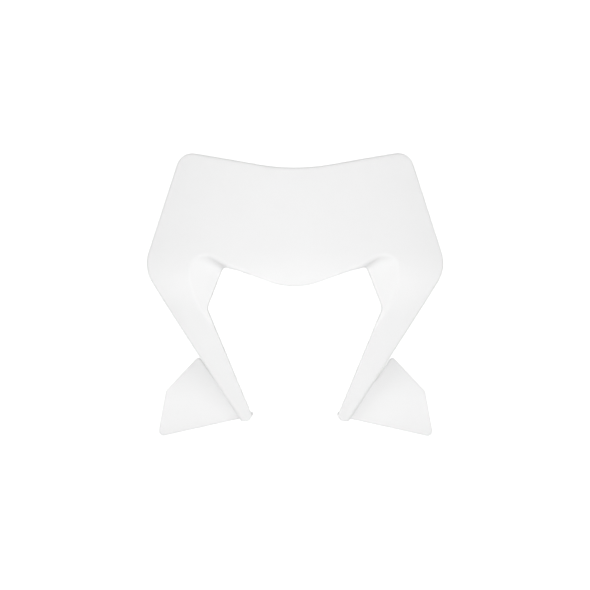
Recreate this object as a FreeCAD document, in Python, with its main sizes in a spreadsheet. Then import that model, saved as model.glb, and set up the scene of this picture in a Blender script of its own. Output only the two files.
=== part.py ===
import FreeCAD, Part
import Sketcher
import os
import re

V = FreeCAD.Vector

# Driving sizes in millimetres and degrees, in the frame of the two lamp screws.
# X is to the right, Y to the rear and Z up, so the nose of the shield is at a negative Y.
SIZES = [
    # Skin: a surface turned about an upright axis behind it, leaning back above and below a bend.
    # The bend lies ahead of the lamp screws, and the other depths of the skin are measured back from it.
    ("wall", 2.5),
    ("skin_radius", 333.6),
    ("bend_ahead", 51.6),
    ("bend_level", 11.0),
    ("bend_radius", 110.0),
    ("lean_upper", 13.0),
    ("lean_lower", 16.0),
    # Rear edge of the side walls, at the top corners, at the middle and at the toes.
    ("rear_top", 48.8),
    ("rear_middle", 41.6),
    ("rear_middle_level", 20.0),
    ("rear_bottom", 62.9),
    # Outline seen from the front.
    ("top_middle_level", 120.9),
    ("top_dip_radius", 190.0),
    ("top_corner_x", 113.1),
    ("top_corner_level", 142.9),
    ("top_corner_radius", 16.0),
    ("widest_x", 149.3),
    ("widest_level", 26.6),
    ("widest_radius", 35.0),
    ("toe_outer_x", 53.3),
    ("toe_inner_x", 39.8),
    ("toe_level", -124.4),
    ("toe_cut_x", 45.5),
    ("toe_cut_level", -116.0),
    ("toe_cut_radius", 4.0),
    # Lamp opening seen from the front.
    ("lip_middle_level", 4.0),
    ("lip_nose_radius", 69.0),
    ("lip_end_x", 54.9),
    ("lip_end_level", 23.6),
    ("brow_x", 70.0),
    ("brow_level", 27.4),
    ("brow_radius", 3.5),
    ("waist_x", 85.3),
    ("waist_level", -12.8),
    ("waist_radius", 10.0),
    # Flat cheek set back beside the opening, and the step above it that carries on the lip.
    ("cheek_back", 43.5),
    ("cheek_angle", 14.0),
    ("cheek_tilt", 3.9),
    ("step_level", 1.73),
    ("step_slope", 22.2),
    ("step_turn_x", 66.0),
    ("step_outer_slope", 34.0),
    ("step_draft", 10.0),
    ("crease_lip_radius", 1.5),
    ("crease_turn_radius", 3.0),
    ("crease_outer_radius", 45.0),
    ("ridge_radius", 4.5),
    ("rim_radius", 3.5),
    # Return wall along the opening.
    ("return_back", 62.7),
    ("return_angle", 20.7),
    ("return_start_x", 47.0),
    ("return_start_depth", 11.0),
    ("return_full_x", 64.0),
    ("return_level", 12.0),
    # Wing beside each leg.
    ("wing_yaw", 19.8),
    ("wing_back", 33.6),
    ("wing_level", -118.0),
    ("wing_curl_radius", 220.0),
    ("wing_top_x", 97.2),
    ("wing_top_level", -61.4),
    ("wing_top_radius", 3.5),
    ("wing_side_x", 130.8),
    ("wing_side_level", -96.7),
    ("wing_side_radius", 6.0),
    ("wing_low_x", 139.6),
    ("wing_low_level", -143.9),
    ("wing_low_radius", 5.0),
    ("wing_root_level", -122.2),
    ("slit_level", -85.0),
    ("slit_gap", 2.0),
    # Lamp screw bosses with their ribs, and the pegs for the fork straps.
    ("screw_span", 236.0),
    ("screw_bore", 4.0),
    ("screw_depth", 12.0),
    ("boss_diameter", 10.0),
    ("rib_thickness", 2.0),
    ("rib_reach", 16.0),
    ("rib_back", 6.0),
    ("peg_width", 7.0),
    ("peg_thickness", 4.0),
    ("peg_head_width", 12.0),
    ("peg_head_length", 3.0),
    ("peg_upper_x", 111.0),
    ("peg_upper_level", 100.0),
    ("peg_upper_back", 8.0),
    ("peg_lower_x", 94.0),
    ("peg_lower_level", -40.0),
    ("peg_lower_back", 0.0),
]

doc = FreeCAD.newDocument("headlight_mask")
sheet = doc.addObject("Spreadsheet::Sheet", "sizes")
for row, (alias, number) in enumerate(SIZES, start=1):
    sheet.set(f"A{row}", alias)
    sheet.set(f"B{row}", str(number))
    sheet.setAlias(f"B{row}", alias)
doc.recompute()

ALIAS = re.compile(r"\b(" + "|".join(alias for alias, number in SIZES) + r")\b")

# Places that follow from the bend: the axis of the skin, the cheek in the middle and the wing's foremost line.
AXIS_Y = "skin_radius - bend_ahead"
CHEEK_Y = "cheek_back - bend_ahead"
WING_Y = "wing_back - bend_ahead"

# Reach of the helper blocks, well outside the part on every side, and of the prisms ahead and behind.
REACH = "1.5 * widest_x"
MINUS_REACH = "-1.5 * widest_x"
DEPTH = "0.8 * widest_x"


def bound(text):
    """An expression of sizes, with each size read from the sheet."""
    return ALIAS.sub(r"sizes.\1", text)


def number_of(text):
    """What an expression of sizes comes to."""
    return float(sheet.evalExpression(bound(text)))


def bind(feature, **expressions):
    """Ties properties of a feature to expressions of sizes."""
    for name, text in expressions.items():
        feature.setExpression(name, bound(text))
    doc.recompute()


def origin_plane(body, role):
    """The body's own origin plane of that role."""
    return next(plane for plane in body.Origin.OriginFeatures if plane.Role == role)


def new_body(name):
    return doc.addObject("PartDesign::Body", name)


def new_sketch(body, name, role):
    sketch = body.newObject("Sketcher::SketchObject", name)
    sketch.AttachmentSupport = [(origin_plane(body, role), "")]
    sketch.MapMode = "FlatFace"
    return sketch


def constrain(sketch, kind, *where, size):
    """Adds a constraint whose value is an expression of sizes."""
    index = sketch.addConstraint(Sketcher.Constraint(kind, *where, number_of(size)))
    sketch.setExpression(f"Constraints[{index}]", bound(size))


def outline(sketch, corners, rounds=()):
    """Closed outline of straight lines through the corners, some of them rounded.

    A corner is a pair of expressions, and "0" puts it on an axis of the sketch.
    A round is the number of its corner and the size of its radius.
    """
    points = [V(number_of(x), number_of(y), 0) for x, y in corners]
    count = len(points)
    for i in range(count):
        sketch.addGeometry(Part.LineSegment(points[i], points[(i + 1) % count]), False)
    for i in range(count):
        sketch.addConstraint(Sketcher.Constraint("Coincident", i, 2, (i + 1) % count, 1))
    for i, (x, y) in enumerate(corners):
        for kind, axis, size in (("DistanceX", -2, x), ("DistanceY", -1, y)):
            if size == "0":
                sketch.addConstraint(Sketcher.Constraint("PointOnObject", i, 1, axis))
            else:
                constrain(sketch, kind, -1, 1, i, 1, size=size)
    for i, radius in rounds:
        before = (points[i - 1] + points[i]) / 2
        after = (points[(i + 1) % count] + points[i]) / 2
        sketch.fillet((i - 1) % count, i, before, after, number_of(radius), True, True)
        arcs = [g for g, shape in enumerate(sketch.Geometry) if isinstance(shape, Part.ArcOfCircle)]
        constrain(sketch, "Radius", arcs[-1], size=radius)
    doc.recompute()


def upright_axis(sketch):
    """Construction line for the upright axis that the skin is turned about."""
    x = number_of(AXIS_Y)
    end = number_of(REACH)
    line = sketch.addGeometry(Part.LineSegment(V(x, -end, 0), V(x, end, 0)), True)
    sketch.addConstraint(Sketcher.Constraint("Vertical", line))
    constrain(sketch, "DistanceX", -1, 1, line, 1, size=AXIS_Y)
    constrain(sketch, "DistanceY", line, 1, -1, 1, size=REACH)
    constrain(sketch, "DistanceY", -1, 1, line, 2, size=REACH)
    doc.recompute()


def pad(body, name, sketch, length, side="Symmetric", reverse=False):
    feature = body.newObject("PartDesign::Pad", name)
    feature.Profile = sketch
    feature.SideType = side
    feature.Reversed = reverse
    bind(feature, Length=length)
    return body


def groove(body, name, sketch):
    feature = body.newObject("PartDesign::Groove", name)
    feature.Profile = sketch
    feature.ReferenceAxis = (sketch, ["Axis0"])
    feature.Angle = 360
    doc.recompute()


def grown(name, sketch, distance):
    """Outline of a sketch moved outward by a distance, inward where that is negative."""
    feature = doc.addObject("Part::Offset2D", name)
    feature.Source = sketch
    feature.Join = "Intersection"
    feature.Value = number_of(distance)
    bind(feature, Value=distance)
    return feature


def extruded(name, profile, length, draft="0"):
    """A profile run out both ways along Y, or along a direction that drops to the rear by the draft."""
    feature = doc.addObject("Part::Extrusion", name)
    feature.Base = profile
    feature.DirMode = "Custom"
    feature.Dir = V(0, number_of(f"cos({draft})"), -number_of(f"sin({draft})"))
    feature.Solid = True
    bind(feature, LengthFwd=length, LengthRev=length)
    return feature


def cut(name, base, tool):
    feature = doc.addObject("Part::Cut", name)
    feature.Base = base
    feature.Tool = tool
    feature.Refine = True
    doc.recompute()
    return feature


def fuse(name, *shapes):
    feature = doc.addObject("Part::MultiFuse", name)
    feature.Shapes = shapes
    feature.Refine = True
    doc.recompute()
    return feature


def common(name, *shapes):
    feature = doc.addObject("Part::MultiCommon", name)
    feature.Shapes = shapes
    doc.recompute()
    return feature


def both_sides(name, source):
    """The piece of the right side together with the same piece on the left."""
    feature = doc.addObject("Part::Mirroring", name + "_left")
    feature.Source = source
    feature.Normal = (1, 0, 0)
    doc.recompute()
    return fuse(name, source, feature)


def rounded(name, base, edges):
    """Fillet on edges of the base, each given by its number and its radius at the start and at the end."""
    feature = doc.addObject("Part::Fillet", name)
    feature.Base = base
    feature.Edges = [(number, number_of(start), number_of(end)) for number, start, end in edges]
    doc.recompute()
    return feature


# Outer block: front outline drawn through, then the curved front and the rear limit turned off.
outer = new_body("outer_block")
outer_outline = new_sketch(outer, "outer_outline", "XZ_Plane")
outline(
    outer_outline,
    [
        ("0", "top_middle_level"),
        ("top_corner_x", "top_corner_level"),
        ("widest_x", "widest_level"),
        ("toe_outer_x", "toe_level"),
        ("toe_cut_x", "toe_level"),
        ("toe_inner_x", "toe_cut_level"),
        ("-toe_inner_x", "toe_cut_level"),
        ("-toe_cut_x", "toe_level"),
        ("-toe_outer_x", "toe_level"),
        ("-widest_x", "widest_level"),
        ("-top_corner_x", "top_corner_level"),
    ],
    [
        (0, "top_dip_radius"),
        (1, "top_corner_radius"),
        (2, "widest_radius"),
        (4, "toe_cut_radius"),
        (7, "toe_cut_radius"),
        (9, "widest_radius"),
        (10, "top_corner_radius"),
    ],
)
pad(outer, "outer_prism", outer_outline, f"2 * {DEPTH}")

front_profile = new_sketch(outer, "front_profile", "YZ_Plane")
outline(
    front_profile,
    [
        (MINUS_REACH, REACH),
        (f"({REACH} - bend_level) * tan(lean_upper) - bend_ahead", REACH),
        ("-bend_ahead", "bend_level"),
        (f"({REACH} + bend_level) * tan(lean_lower) - bend_ahead", MINUS_REACH),
        (MINUS_REACH, MINUS_REACH),
    ],
    [(2, "bend_radius")],
)
upright_axis(front_profile)
groove(outer, "front_face", front_profile)

rear_profile = new_sketch(outer, "rear_profile", "YZ_Plane")
outline(
    rear_profile,
    [
        ("rear_top - bend_ahead", REACH),
        ("rear_top - bend_ahead", "top_corner_level"),
        ("rear_middle - bend_ahead", "rear_middle_level"),
        ("rear_bottom - bend_ahead", "toe_level"),
        ("rear_bottom - bend_ahead", MINUS_REACH),
        (REACH, MINUS_REACH),
        (REACH, REACH),
    ],
)
upright_axis(rear_profile)
groove(outer, "rear_face", rear_profile)

# Inner block: the same outline and front, one wall thickness further in.
inner_prism = extruded("inner_prism", grown("inner_outline", outer_outline, "-wall"), DEPTH)
inner_turned = doc.addObject("Part::Revolution", "inner_turned")
inner_turned.Source = grown("inner_front", front_profile, "wall")
inner_turned.Axis = V(0, 0, 1)
inner_turned.Angle = 360
inner_turned.Solid = True
bind(inner_turned, **{"Base.y": AXIS_Y})
inner = cut("inner_block", inner_prism, inner_turned)

# Cheek recess: what lies ahead of the flat cheek and below the drafted step that carries on the lip.
STEP_START_X = "0.8 * lip_end_x"
STEP_TURN_LEVEL = "step_level + step_turn_x * tan(step_slope)"
sweep = new_body("cheek_sweep")
cheek_outline = new_sketch(sweep, "cheek_outline", "XZ_Plane")
bind(
    cheek_outline,
    **{"AttachmentOffset.Base.z": "bend_ahead", "AttachmentOffset.Rotation.Roll": "-step_draft"},
)
outline(
    cheek_outline,
    [
        (STEP_START_X, f"step_level + {STEP_START_X} * tan(step_slope)"),
        ("step_turn_x", STEP_TURN_LEVEL),
        ("widest_x", f"{STEP_TURN_LEVEL} + (widest_x - step_turn_x) * tan(step_outer_slope)"),
        ("widest_x", MINUS_REACH),
        ("0.5 * toe_inner_x", MINUS_REACH),
    ],
)
pad(sweep, "cheek_run", cheek_outline, f"2 * {REACH}")


def cheek_block(name, setback):
    """Block whose rear face is the cheek plane, moved back by a distance square to it."""
    body = new_body(name)
    sketch = new_sketch(body, name + "_outline", "XZ_Plane")
    upper = [(MINUS_REACH, REACH), (REACH, REACH)]
    lower = [(REACH, MINUS_REACH), (MINUS_REACH, MINUS_REACH)]
    outline(sketch, upper + lower)
    pad(body, name + "_run", sketch, REACH, side="One side")
    bind(
        body,
        **{
            "Placement.Base.y": f"{CHEEK_Y} + {setback} / cos(cheek_angle)",
            "Placement.Rotation.Yaw": "-cheek_angle",
            "Placement.Rotation.Roll": "-cheek_tilt",
        },
    )
    return body


def crease_round(name, base, growth):
    """Rounds the edges where a recess cutter's rear face meets its top, tight at the lip and wide outside."""
    lip, turn, outer_end = (f"crease_{place}_radius + {growth}" for place in ("lip", "turn", "outer"))
    edges = []
    for number, edge in enumerate(base.Shape.Edges, start=1):
        point = edge.CenterOfMass
        faces = base.Shape.ancestorsOfType(edge, Part.Face)
        normals = [face.normalAt(*face.Surface.parameter(point)) for face in faces]
        if max(n.y for n in normals) > 0.5 and max(n.z for n in normals) > 0.7:
            ends = (lip, turn) if point.x < number_of("step_turn_x") else (turn, outer_end)
            outward = edge.Vertexes[0].X < edge.Vertexes[-1].X
            edges.append((number, *(ends if outward else reversed(ends))))
    return rounded(name, base, edges)


outer_cutter = common("cheek_cutter", sweep, cheek_block("cheek_block", "0"))
outer_cutter = crease_round("cheek_cutter_round", outer_cutter, "0")
inner_cheek_outline = grown("inner_cheek_outline", cheek_outline, "wall")
inner_sweep = extruded("inner_cheek_run", inner_cheek_outline, REACH, "step_draft")
inner_cutter = common("inner_cheek_cutter", inner_sweep, cheek_block("inner_cheek_block", "wall"))
inner_cutter = crease_round("inner_cutter_round", inner_cutter, "wall")
outer_form = cut("outer_form", outer, both_sides("cheek_cutters", outer_cutter))
inner_form = cut("inner_form", inner, both_sides("inner_cheek_cutters", inner_cutter))


def face_kind(face):
    """What a face of a form is: front, rear, side or recess."""
    edge = face.OuterWire.Edges[0]
    point = edge.valueAt(0.5 * (edge.FirstParameter + edge.LastParameter))
    normal = face.normalAt(*face.Surface.parameter(point))
    if isinstance(face.Surface, (Part.Cone, Part.Toroid)):
        return "front" if normal.y < 0 else "rear"
    return "side" if abs(normal.y) < 0.01 else "recess"


def edges_between(shape, first, second, test):
    """Numbers of the edges between two kinds of face whose middle passes the test."""
    numbers = []
    for number, edge in enumerate(shape.Edges, start=1):
        kinds = sorted(face_kind(face) for face in shape.ancestorsOfType(edge, Part.Face))
        if kinds == sorted([first, second]) and test(edge.CenterOfMass):
            numbers.append(number)
    return numbers


# Rounded ridge where the recess leaves the front, then the rounded rim of the front down to the toes.
step_start = number_of(STEP_START_X)
rim_end = number_of("toe_cut_level + wall")
ridge = edges_between(outer_form.Shape, "front", "recess", lambda middle: abs(middle.x) > step_start)
outer_form = rounded("ridge_round", outer_form, [(edge, "ridge_radius", "ridge_radius") for edge in ridge])
rim = edges_between(outer_form.Shape, "front", "side", lambda middle: middle.z > rim_end)
outer_form = rounded("rim_round", outer_form, [(edge, "rim_radius", "rim_radius") for edge in rim])
closed_shell = cut("closed_shell", outer_form, inner_form)

# Lamp opening: lip with its round nose, brow corners, waist and the gap between the legs.
GAP_LEVEL = "1.2 * toe_level"
GAP_X = "toe_inner_x + 0.2 * toe_level * (waist_x - toe_inner_x) / (waist_level - toe_level)"
way = new_body("lamp_way")
opening = new_sketch(way, "lamp_opening", "XZ_Plane")
outline(
    opening,
    [
        ("0", "lip_middle_level"),
        ("lip_end_x", "lip_end_level"),
        ("brow_x", "brow_level"),
        ("waist_x", "waist_level"),
        (GAP_X, GAP_LEVEL),
        (f"-({GAP_X})", GAP_LEVEL),
        ("-waist_x", "waist_level"),
        ("-brow_x", "brow_level"),
        ("-lip_end_x", "lip_end_level"),
    ],
    [
        (0, "lip_nose_radius"),
        (2, "brow_radius"),
        (3, "waist_radius"),
        (6, "waist_radius"),
        (7, "brow_radius"),
    ],
)
pad(way, "lamp_run", opening, f"2 * {REACH}")
open_shell = cut("open_shell", closed_shell, way)

# Return wall along the sides of the opening, its rear edge closing in on the skin towards the outside.
return_outline = grown("return_outline", opening, "wall")
return_ring = cut("return_ring", extruded("return_run", return_outline, DEPTH), way)


def return_back(x):
    """Rear limit of the return at a distance from the middle."""
    return f"return_back - bend_ahead - {x} * tan(return_angle)"


def return_limit(name, corners, downward):
    """Block that the return is kept within, on one side of the return level."""
    body = new_body(name)
    sketch = new_sketch(body, name + "_outline", "XY_Plane")
    bind(sketch, **{"AttachmentOffset.Base.z": "return_level"})
    outline(sketch, corners)
    return pad(body, name + "_run", sketch, REACH, side="One side", reverse=downward)


brow_limit = return_limit(
    "brow_limit",
    [
        ("return_start_x", MINUS_REACH),
        ("widest_x", MINUS_REACH),
        ("widest_x", return_back("widest_x")),
        ("return_full_x", return_back("return_full_x")),
        ("return_start_x", "return_start_depth - bend_ahead"),
    ],
    downward=False,
)
LEG_START_X = "0.9 * toe_inner_x"
leg_limit = return_limit(
    "leg_limit",
    [
        (LEG_START_X, MINUS_REACH),
        ("widest_x", MINUS_REACH),
        ("widest_x", return_back("widest_x")),
        (LEG_START_X, return_back(LEG_START_X)),
    ],
    downward=True,
)
limits = both_sides("return_limits", fuse("return_limit", brow_limit, leg_limit))
returns = common("opening_returns", return_ring, limits)


def post(name, diameter, x, level, start, length):
    """Round post along Y from its start to the rear."""
    cylinder = doc.addObject("Part::Cylinder", name)
    cylinder.Placement = FreeCAD.Placement(V(0, 0, 0), FreeCAD.Rotation(V(1, 0, 0), -90))
    place = {"Placement.Base.x": x, "Placement.Base.y": start, "Placement.Base.z": level}
    bind(cylinder, Radius=f"{diameter} / 2", Height=length, **place)
    return cylinder


def block(name, x, level, width, height, start, length):
    """Square-edged block along Y from its start to the rear, about a line at that x and level."""
    box = doc.addObject("Part::Box", name)
    corner = {
        "Placement.Base.x": f"{x} - {width} / 2",
        "Placement.Base.y": start,
        "Placement.Base.z": f"{level} - {height} / 2",
    }
    bind(box, Length=width, Width=length, Height=height, **corner)
    return box


def strap_peg(name):
    """Hook for a strap, a shank from the skin with a wider head, at the sizes that carry the name."""
    back = name + "_back"
    line = (name + "_x", name + "_level")
    head_start = f"{back} - peg_head_length"
    shank = block(name + "_shank", *line, "peg_thickness", "peg_width", "-bend_ahead", f"bend_ahead + {back}")
    head = block(name + "_head", *line, "peg_head_width", "peg_width", head_start, "peg_head_length")
    return fuse(name, shank, head)


# Lamp screw bosses braced by two crossed ribs, and the pegs that the fork straps hook on.
boss = post("boss", "boss_diameter", "screw_span / 2", "0", "-bend_ahead", "bend_ahead")
RIB_RUN = ("-bend_ahead", "bend_ahead - rib_back")
SCREW_LINE = ("screw_span / 2", "0")
flat_rib = block("flat_rib", *SCREW_LINE, "2 * rib_reach", "rib_thickness", *RIB_RUN)
tall_rib = block("tall_rib", *SCREW_LINE, "rib_thickness", "2 * rib_reach", *RIB_RUN)
right_posts = fuse("right_posts", boss, flat_rib, tall_rib, strap_peg("peg_upper"), strap_peg("peg_lower"))
inside_raw = fuse("inside_raw", returns, both_sides("posts", right_posts))
details = common("inside_details", inside_raw, inner_form)


def beside_leg(level, past):
    """Point at a level on the outer edge of the leg, moved out by a distance."""
    rate = "(widest_x - toe_outer_x) / (widest_level - toe_level)"
    return f"toe_outer_x + ({level} - toe_level) * {rate} + {past}", level


# Wing: front outline drawn through a curled sheet that is swept back, rooted in the leg's outer wall.
wing_body = new_body("wing_prism")
wing_outline = new_sketch(wing_body, "wing_outline", "XZ_Plane")
outline(
    wing_outline,
    [
        beside_leg("wing_root_level", "-0.6 * wall"),
        ("wing_low_x", "wing_low_level"),
        ("wing_side_x", "wing_side_level"),
        ("wing_top_x", "wing_top_level"),
        beside_leg("slit_level", "slit_gap"),
        beside_leg("slit_level", "-0.6 * wall"),
    ],
    [(1, "wing_low_radius"), (2, "wing_side_radius"), (3, "wing_top_radius")],
)
pad(wing_body, "wing_run", wing_outline, f"2 * {DEPTH}")

sheet_body = new_body("wing_sheet")
ring = new_sketch(sheet_body, "wing_ring", "YZ_Plane")
middle_y = f"{WING_Y} + wing_curl_radius"
for radius in ("wing_curl_radius", "wing_curl_radius - wall"):
    middle = V(number_of(middle_y), number_of("wing_level"), 0)
    circle = ring.addGeometry(Part.Circle(middle, V(0, 0, 1), number_of(radius)), False)
    constrain(ring, "Radius", circle, size=radius)
    constrain(ring, "DistanceX", -1, 1, circle, 3, size=middle_y)
    constrain(ring, "DistanceY", -1, 1, circle, 3, size="wing_level")
pad(sheet_body, "wing_tube", ring, f"2 * {REACH}")
bind(sheet_body, **{"Placement.Rotation.Yaw": "wing_yaw"})
wings = both_sides("wings", common("wing", wing_body, sheet_body))

# Everything joined into the one moulded piece, then the screw holes.
joined = fuse("joined", open_shell, details, wings)
hole_run = "screw_depth + boss_diameter"
hole = post("screw_hole", "screw_bore", "screw_span / 2", "0", "-screw_depth", hole_run)
mask = cut("headlight_mask", joined, both_sides("screw_holes", hole))

for feature in doc.Objects:
    if "Invalid" in feature.State or "Error" in feature.State:
        raise RuntimeError(feature.Name + " did not build")
if mask.Shape.isNull() or not mask.Shape.isValid() or len(mask.Shape.Solids) != 1:
    raise RuntimeError("the mask is not one valid solid")
os.makedirs("parts", exist_ok=True)
mask.Shape.exportStep(f"parts/{mask.Label}.step")
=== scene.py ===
"""Looks of the headlight mask: satin white moulded polypropylene on a plain white studio stage."""
import math

import bpy
import numpy as np
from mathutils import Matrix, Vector


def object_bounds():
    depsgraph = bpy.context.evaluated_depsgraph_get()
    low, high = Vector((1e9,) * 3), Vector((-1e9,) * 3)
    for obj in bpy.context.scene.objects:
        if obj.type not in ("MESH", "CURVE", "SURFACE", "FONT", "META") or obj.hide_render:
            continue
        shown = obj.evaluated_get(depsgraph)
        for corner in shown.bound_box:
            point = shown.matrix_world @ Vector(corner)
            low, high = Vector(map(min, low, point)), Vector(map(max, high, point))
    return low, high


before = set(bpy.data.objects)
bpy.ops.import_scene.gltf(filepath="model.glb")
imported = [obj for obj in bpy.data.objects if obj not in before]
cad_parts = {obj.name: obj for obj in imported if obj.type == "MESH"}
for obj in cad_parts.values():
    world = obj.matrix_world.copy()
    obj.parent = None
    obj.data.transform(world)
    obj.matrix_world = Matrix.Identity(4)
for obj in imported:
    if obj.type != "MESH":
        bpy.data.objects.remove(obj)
CAD_LOW, CAD_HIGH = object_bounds()

bl_info = {
    "name": "Headlight mask",
    "version": (1, 0, 0),
    "blender": (4, 5, 0),
    "location": "View3D > Sidebar > Mask",
    "description": "Finishes the moulded headlight mask and sets up its white studio stage",
    "category": "Object",
}

MILLIMETRE = 0.001

# Plastic: its refraction, the share of light that spreads under the face, and what the flow marks change.
PLASTIC_IOR = 1.49
GLOW_SHARE = 0.25
GLOSS_SPREAD = 0.04
FLOW_LOW, FLOW_HIGH = 0.3, 0.7
FLOW_SHADE = 0.985
EDGE_SAMPLES = 8

# Stage: how much the cove's paint is lifted where it is seen, and the camera's sensor in millimetres.
COVE_LIFT = 0.6
SENSOR_WIDTH = 36.0

# Lamps: name, width, height, the stage property that holds the power, and the place.
LAMPS = (
    ("left_softbox", 0.9, 0.3, "side_light", (-1.2, -1.5, -0.05)),
    ("right_softbox", 0.9, 0.3, "side_light", (1.2, -1.5, -0.05)),
    ("front_softbox", 1.2, 0.5, "front_light", (0.0, -1.9, 0.0)),
    ("low_strip", 1.4, 0.08, "low_light", (0.0, -1.1, -0.27)),
)


def linear(hex_colour):
    """Linear colour from an sRGB hex value, by the sRGB transfer curve."""
    channels = np.array([int(hex_colour[i : i + 2], 16) for i in (1, 3, 5)]) / 255
    low = channels / 12.92
    high = ((channels + 0.055) / 1.055) ** 2.4
    return tuple(np.where(channels <= 0.04045, low, high).tolist())


class MouldedFinish(bpy.types.PropertyGroup):
    """Finish of the white plastic shell."""

    colour: bpy.props.FloatVectorProperty(
        name="Plastic colour",
        description="Colour of the plastic, white right through",
        subtype="COLOR",
        size=3,
        min=0,
        max=1,
        default=linear("#F1F1F1"),
    )
    roughness: bpy.props.FloatProperty(
        name="Roughness",
        description="Satin gloss of the moulded face",
        subtype="FACTOR",
        min=0,
        max=1,
        default=0.45,
    )
    grain_size: bpy.props.FloatProperty(
        name="Grain size",
        description="Width of one grain of the spark-eroded mould face",
        unit="LENGTH",
        default=0.9 * MILLIMETRE,
    )
    grain_depth: bpy.props.FloatProperty(
        name="Grain depth",
        description="Height of the grain",
        unit="LENGTH",
        default=0.012 * MILLIMETRE,
    )
    flow_size: bpy.props.FloatProperty(
        name="Flow mark size",
        description="Width of the faint cloudy marks left by the melt's flow",
        unit="LENGTH",
        default=45 * MILLIMETRE,
    )
    glow_depth: bpy.props.FloatProperty(
        name="Glow depth",
        description="How far light spreads under the face of the milky plastic",
        unit="LENGTH",
        default=4 * MILLIMETRE,
    )
    edge_round: bpy.props.FloatProperty(
        name="Edge round",
        description="Radius that softens the moulded edges in the shading",
        unit="LENGTH",
        default=2.0 * MILLIMETRE,
    )


class StudioStage(bpy.types.PropertyGroup):
    """Camera, lamps, floor and backdrop."""

    camera_distance: bpy.props.FloatProperty(
        name="Camera distance",
        description="From the nose of the shield to the camera",
        unit="LENGTH",
        default=1.5,
    )
    camera_azimuth: bpy.props.FloatProperty(
        name="Camera azimuth",
        description="How far the camera stands to the right of straight ahead",
        subtype="ANGLE",
        default=math.radians(0.8),
    )
    frame_width: bpy.props.FloatProperty(
        name="Frame width",
        description="Width of what the camera sees at the nose of the shield",
        unit="LENGTH",
        default=0.5664,
    )
    floor_drop: bpy.props.FloatProperty(
        name="Floor drop",
        description="From the lamp screws down to the floor",
        unit="LENGTH",
        default=0.32,
    )
    floor_colour: bpy.props.FloatVectorProperty(
        name="Floor colour",
        description="Colour of the floor and the backdrop",
        subtype="COLOR",
        size=3,
        min=0,
        max=1,
        default=linear("#F4F4F4"),
    )
    room_light: bpy.props.FloatProperty(
        name="Room light",
        description="Even light from all round",
        default=0.557,
    )
    side_light: bpy.props.FloatProperty(
        name="Side light",
        description="Power of each of the two soft lamps beside the camera",
        default=6.6,
    )
    front_light: bpy.props.FloatProperty(
        name="Front light",
        description="Power of the soft lamp behind the camera",
        default=3.1,
    )
    low_light: bpy.props.FloatProperty(
        name="Low light",
        description="Power of the strip lamp near the floor",
        default=1.8,
    )


def add_node(tree, kind, settings=(), inputs=(), links=()):
    """Adds a node, sets its properties and input values, and links its inputs, each by name or number."""
    node = tree.nodes.new(kind)
    for name, value in dict(settings).items():
        setattr(node, name, value)
    for name, value in dict(inputs).items():
        node.inputs[name].default_value = value
    for name, socket in dict(links).items():
        tree.links.new(socket, node.inputs[name])
    return node


def moulded_polypropylene(finish):
    """White polypropylene, injection moulded against a spark-eroded steel face.

    The eye gets a clean neutral white with a soft satin sheen, a grain that is only felt in the highlights,
    and very faint cloudy changes of gloss where the melt has flowed.
    """
    material = bpy.data.materials.new("moulded_polypropylene")
    material.use_nodes = True
    tree = material.node_tree
    tree.nodes.clear()
    place = add_node(tree, "ShaderNodeTexCoord").outputs["Object"]
    grain = add_node(
        tree,
        "ShaderNodeTexNoise",
        inputs={"Scale": 1 / finish.grain_size, "Detail": 2.0, "Roughness": 0.5},
        links={"Vector": place},
    )
    flow = add_node(
        tree,
        "ShaderNodeTexNoise",
        inputs={"Scale": 1 / finish.flow_size, "Detail": 3.0, "Roughness": 0.45, "Distortion": 0.6},
        links={"Vector": place},
    )
    gloss = add_node(
        tree,
        "ShaderNodeMapRange",
        inputs={
            "From Min": FLOW_LOW,
            "From Max": FLOW_HIGH,
            "To Min": finish.roughness - GLOSS_SPREAD,
            "To Max": finish.roughness + GLOSS_SPREAD,
        },
        links={"Value": flow.outputs["Fac"]},
    )
    shade = add_node(
        tree,
        "ShaderNodeMapRange",
        inputs={"To Min": FLOW_SHADE, "To Max": 1.0},
        links={"Value": flow.outputs["Fac"]},
    )
    colour = add_node(
        tree,
        "ShaderNodeVectorMath",
        settings={"operation": "SCALE"},
        inputs={"Vector": finish.colour},
        links={"Scale": shade.outputs["Result"]},
    )
    soft_edge = add_node(
        tree, "ShaderNodeBevel", settings={"samples": EDGE_SAMPLES}, inputs={"Radius": finish.edge_round}
    )
    relief = add_node(
        tree,
        "ShaderNodeBump",
        inputs={"Strength": 1.0, "Distance": finish.grain_depth},
        links={"Height": grain.outputs["Fac"], "Normal": soft_edge.outputs["Normal"]},
    )
    shader = add_node(
        tree,
        "ShaderNodeBsdfPrincipled",
        inputs={
            "IOR": PLASTIC_IOR,
            "Specular IOR Level": 0.5,
            "Subsurface Weight": GLOW_SHARE,
            "Subsurface Radius": (1.0, 1.0, 1.0),
            "Subsurface Scale": finish.glow_depth,
        },
        links={
            "Base Color": colour.outputs["Vector"],
            "Roughness": gloss.outputs["Result"],
            "Normal": relief.outputs["Normal"],
        },
    )
    add_node(tree, "ShaderNodeOutputMaterial", links={"Surface": shader.outputs["BSDF"]})
    return material


def seen_white(tree):
    """1 for rays that show the background straight, in gloss or through glass, and 0 for its light."""
    path = add_node(tree, "ShaderNodeLightPath")
    seen = path.outputs["Is Camera Ray"]
    for ray in ("Is Glossy Ray", "Is Transmission Ray"):
        pair = {0: seen, 1: path.outputs[ray]}
        larger = add_node(tree, "ShaderNodeMath", settings={"operation": "MAXIMUM"}, links=pair)
        seen = larger.outputs["Value"]
    return seen


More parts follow.
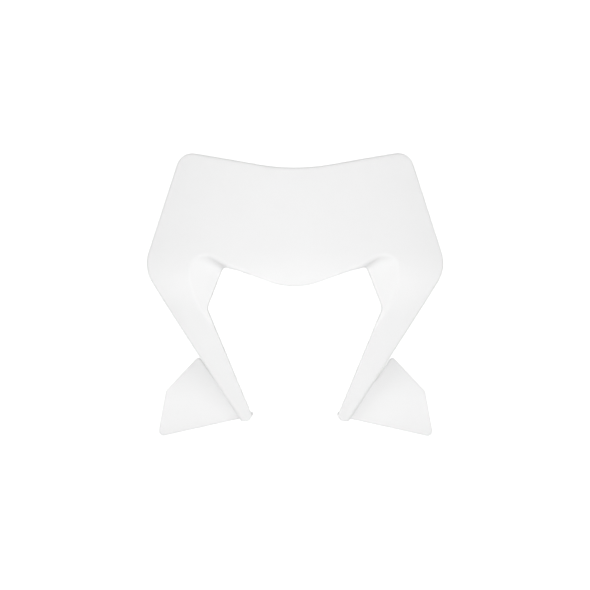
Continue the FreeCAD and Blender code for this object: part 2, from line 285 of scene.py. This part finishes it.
def painted_cove(stage):
    """Matt white paint on a studio cove, lifted to white where it is seen and shaded by the mask."""
    material = bpy.data.materials.new("matt_white_cove_paint")
    material.use_nodes = True
    tree = material.node_tree
    tree.nodes.clear()
    paint = add_node(
        tree, "ShaderNodeBsdfDiffuse", inputs={"Color": (*stage.floor_colour, 1.0), "Roughness": 0.9}
    )
    share = add_node(
        tree,
        "ShaderNodeMath",
        settings={"operation": "MULTIPLY"},
        inputs={1: COVE_LIFT},
        links={0: seen_white(tree)},
    )
    lift = add_node(
        tree,
        "ShaderNodeEmission",
        inputs={"Color": (*linear("#FFFFFF"), 1.0)},
        links={"Strength": share.outputs["Value"]},
    )
    total = add_node(
        tree, "ShaderNodeAddShader", links={0: paint.outputs["BSDF"], 1: lift.outputs["Emission"]}
    )
    add_node(tree, "ShaderNodeOutputMaterial", links={"Surface": total.outputs["Shader"]})
    return material


def cove_mesh(floor_level, front, back, bend, height, half_width):
    """Floor that bends up into a backdrop: a profile of run, quarter round and rise, carried along X."""
    turn = np.linspace(0, np.pi / 2, 25)
    round_y = back - bend + bend * np.sin(turn)
    round_z = floor_level + bend - bend * np.cos(turn)
    profile_y = np.concatenate([[front], round_y, [back]])
    profile_z = np.concatenate([[floor_level], round_z, [floor_level + height]])
    across = np.array([-half_width, half_width])
    x, y = np.meshgrid(across, profile_y, indexing="ij")
    z = np.broadcast_to(profile_z, x.shape)
    points = np.stack([x, y, z], axis=-1).reshape(-1, 3)
    count = len(profile_y)
    low = np.arange(count - 1)
    faces = np.stack([low, low + count, low + count + 1, low + 1], axis=1)
    mesh = bpy.data.meshes.new("studio_cove")
    mesh.from_pydata(points.tolist(), [], faces.tolist())
    mesh.polygons.foreach_set("use_smooth", np.ones(len(faces), bool))
    mesh.update()
    return mesh


def add_lamp(name, width, height, power, place):
    """Soft box lamp at a place, turned to the lamp screws."""
    light = bpy.data.lights.new(name, "AREA")
    light.shape = "RECTANGLE"
    light.size = width
    light.size_y = height
    light.energy = power
    lamp = bpy.data.objects.new(name, light)
    lamp.location = place
    lamp.rotation_euler = (-Vector(place)).to_track_quat("-Z", "Y").to_euler()
    bpy.context.scene.collection.objects.link(lamp)


class MASK_OT_moulded_shell(bpy.types.Operator):
    """Gives the moulded shell its plastic finish"""

    bl_idname = "mask.moulded_shell"
    bl_label = "Moulded shell"

    def execute(self, context):
        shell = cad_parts["headlight_mask"]
        shell.data.materials.clear()
        shell.data.materials.append(moulded_polypropylene(context.scene.moulded_finish))
        return {"FINISHED"}


class MASK_OT_studio_stage(bpy.types.Operator):
    """Sets up the white cove, the lamps, the world light and the camera"""

    bl_idname = "mask.studio_stage"
    bl_label = "Studio stage"

    def execute(self, context):
        stage = context.scene.studio_stage
        self.build_cove(stage)
        self.build_light(context, stage)
        self.build_camera(context, stage)
        context.scene.view_settings.view_transform = "Standard"
        return {"FINISHED"}

    def build_cove(self, stage):
        mesh = cove_mesh(-stage.floor_drop, front=-6.0, back=2.2, bend=0.8, height=5.0, half_width=6.0)
        mesh.materials.append(painted_cove(stage))
        cove = bpy.data.objects.new("studio_cove", mesh)
        bpy.context.scene.collection.objects.link(cove)

    def build_light(self, context, stage):
        world = bpy.data.worlds.new("white_room")
        context.scene.world = world
        world.use_nodes = True
        tree = world.node_tree
        tree.nodes.clear()
        strength = add_node(
            tree,
            "ShaderNodeMapRange",
            inputs={"To Min": stage.room_light, "To Max": 1.0},
            links={"Value": seen_white(tree)},
        )
        room = add_node(
            tree,
            "ShaderNodeBackground",
            inputs={"Color": (*linear("#FFFFFF"), 1.0)},
            links={"Strength": strength.outputs["Result"]},
        )
        add_node(tree, "ShaderNodeOutputWorld", links={"Surface": room.outputs["Background"]})
        for name, width, height, power, place in LAMPS:
            add_lamp(name, width, height, getattr(stage, power), place)

    def build_camera(self, context, stage):
        data = bpy.data.cameras.new("photo_camera")
        data.sensor_width = SENSOR_WIDTH
        data.lens = SENSOR_WIDTH * stage.camera_distance / stage.frame_width
        reach = stage.camera_distance - CAD_LOW.y
        camera = bpy.data.objects.new("photo_camera", data)
        camera.location = (
            reach * math.sin(stage.camera_azimuth),
            -reach * math.cos(stage.camera_azimuth),
            0.0,
        )
        camera.rotation_euler = (math.radians(90), 0.0, stage.camera_azimuth)
        context.scene.collection.objects.link(camera)
        context.scene.camera = camera


class MASK_PT_panel(bpy.types.Panel):
    """Sidebar panel of the headlight mask"""

    bl_idname = "MASK_PT_panel"
    bl_label = "Headlight mask"
    bl_space_type = "VIEW_3D"
    bl_region_type = "UI"
    bl_category = "Mask"

    def draw(self, context):
        for group, operator in (
            (context.scene.moulded_finish, MASK_OT_moulded_shell),
            (context.scene.studio_stage, MASK_OT_studio_stage),
        ):
            box = self.layout.box()
            for name in group.__annotations__:
                box.prop(group, name)
            box.operator(operator.bl_idname)


CLASSES = (MouldedFinish, StudioStage, MASK_OT_moulded_shell, MASK_OT_studio_stage, MASK_PT_panel)


def register():
    for cls in CLASSES:
        bpy.utils.register_class(cls)
    bpy.types.Scene.moulded_finish = bpy.props.PointerProperty(type=MouldedFinish)
    bpy.types.Scene.studio_stage = bpy.props.PointerProperty(type=StudioStage)


def unregister():
    del bpy.types.Scene.studio_stage
    del bpy.types.Scene.moulded_finish
    for cls in reversed(CLASSES):
        bpy.utils.unregister_class(cls)


def main():
    register()
    bpy.ops.mask.moulded_shell()
    bpy.ops.mask.studio_stage()


if __name__ == "__main__":
    main()
